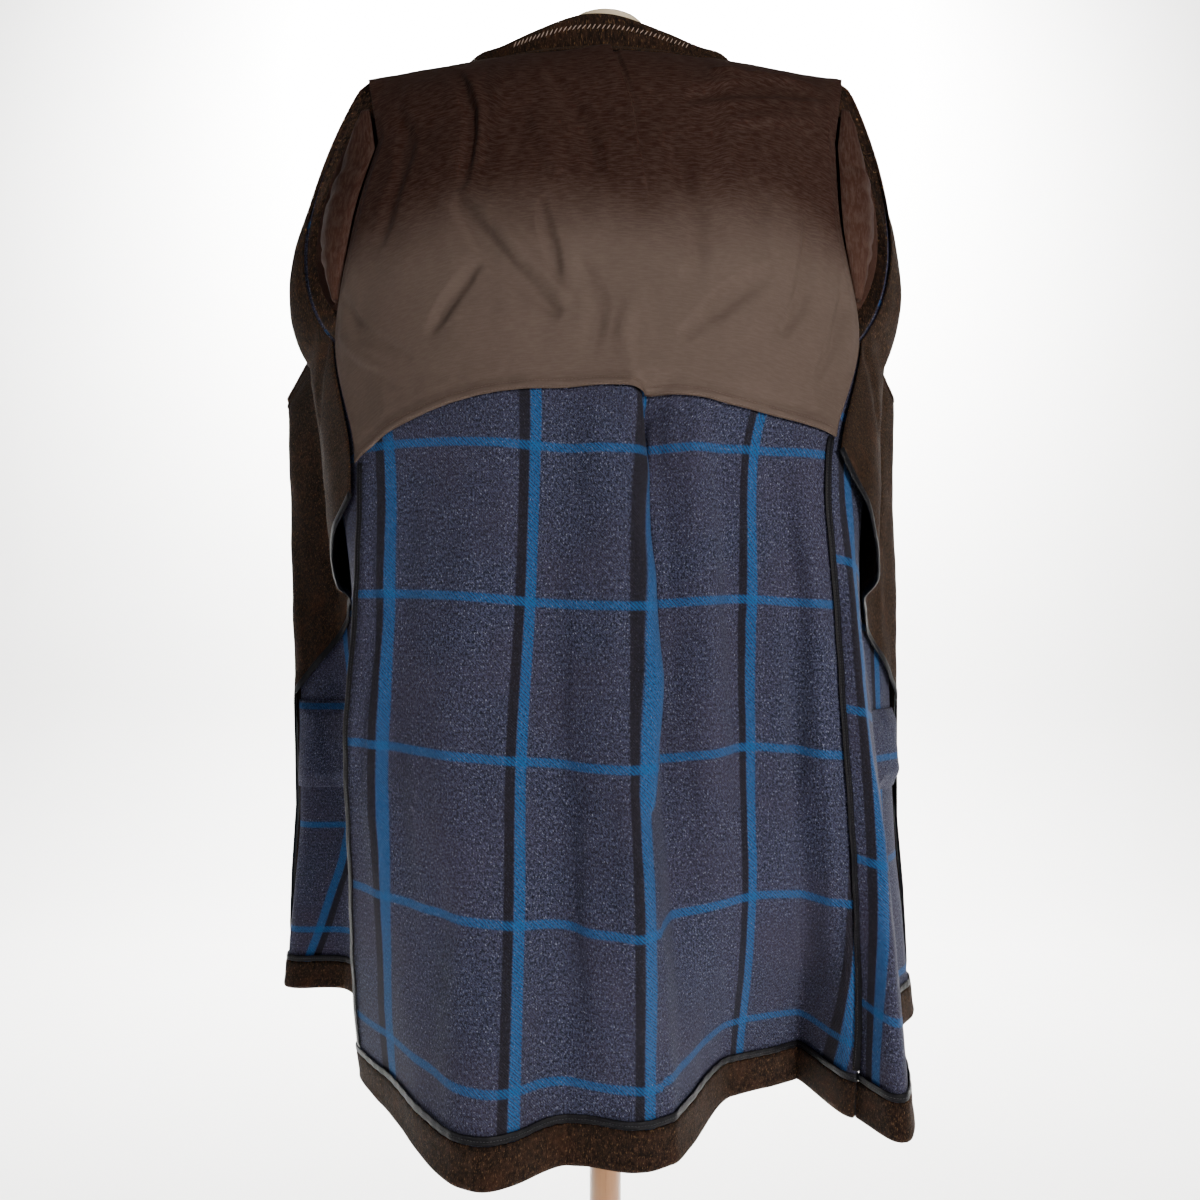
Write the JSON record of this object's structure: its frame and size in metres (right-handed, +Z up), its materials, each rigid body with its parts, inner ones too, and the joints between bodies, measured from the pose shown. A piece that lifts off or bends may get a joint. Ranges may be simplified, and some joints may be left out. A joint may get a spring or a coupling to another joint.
{
  "type": "car coat on a dress form",
  "caption": "Half-lined wool car coat turned inside out and filled out on a limbless dress form, back towards the viewer.",
  "frame": {"origin": "centre of the round base, on the floor", "axes": "+Z up, -Y towards the side that the picture shows, +X to its right"},
  "size_m": [0.8039, 0.5961, 1.62],
  "materials": {
    "check_wool": "milled melange twill with a windowpane check",
    "face_wool": "brushed dark brown wool",
    "lining": "cotton sateen with a soft sheen",
    "satin_binding": "black satin bias binding",
    "button": "dark horn effect",
    "form_cover": "cream linen cover",
    "form_wood": "satin varnished beech"
  },
  "bodies": {
    "root": {"back_panel": "check_wool", "front_left": "check_wool", "front_right": "check_wool", "pocket_bag_left": "check_wool", "pocket_bag_right": "check_wool", "back_neck_facing": "face_wool", "collar": "face_wool", "facing_left": "face_wool", "facing_right": "face_wool", "upper_sleeve_left": "face_wool", "upper_sleeve_right": "face_wool", "under_sleeve_left": "face_wool", "under_sleeve_right": "face_wool", "hem_facing_back": "face_wool", "hem_facing_left": "face_wool", "hem_facing_right": "face_wool", "pocket_welt_left": "face_wool", "pocket_welt_right": "face_wool", "back_lining_yoke": "lining", "sleeve_lining_left": "lining", "sleeve_lining_right": "lining", "facing_binding_left": "satin_binding", "facing_binding_right": "satin_binding", "hem_binding_back": "satin_binding", "hem_binding_left": "satin_binding", "hem_binding_right": "satin_binding", "seam_binding_left": "satin_binding", "seam_binding_right": "satin_binding", "button_1": "button", "button_2": "button", "button_3": "button", "button_4": "button", "form_torso": "form_cover", "form_neck_cap": "form_cover", "form_pole": "form_wood", "form_base": "form_wood"}
  },
  "joints": []
}
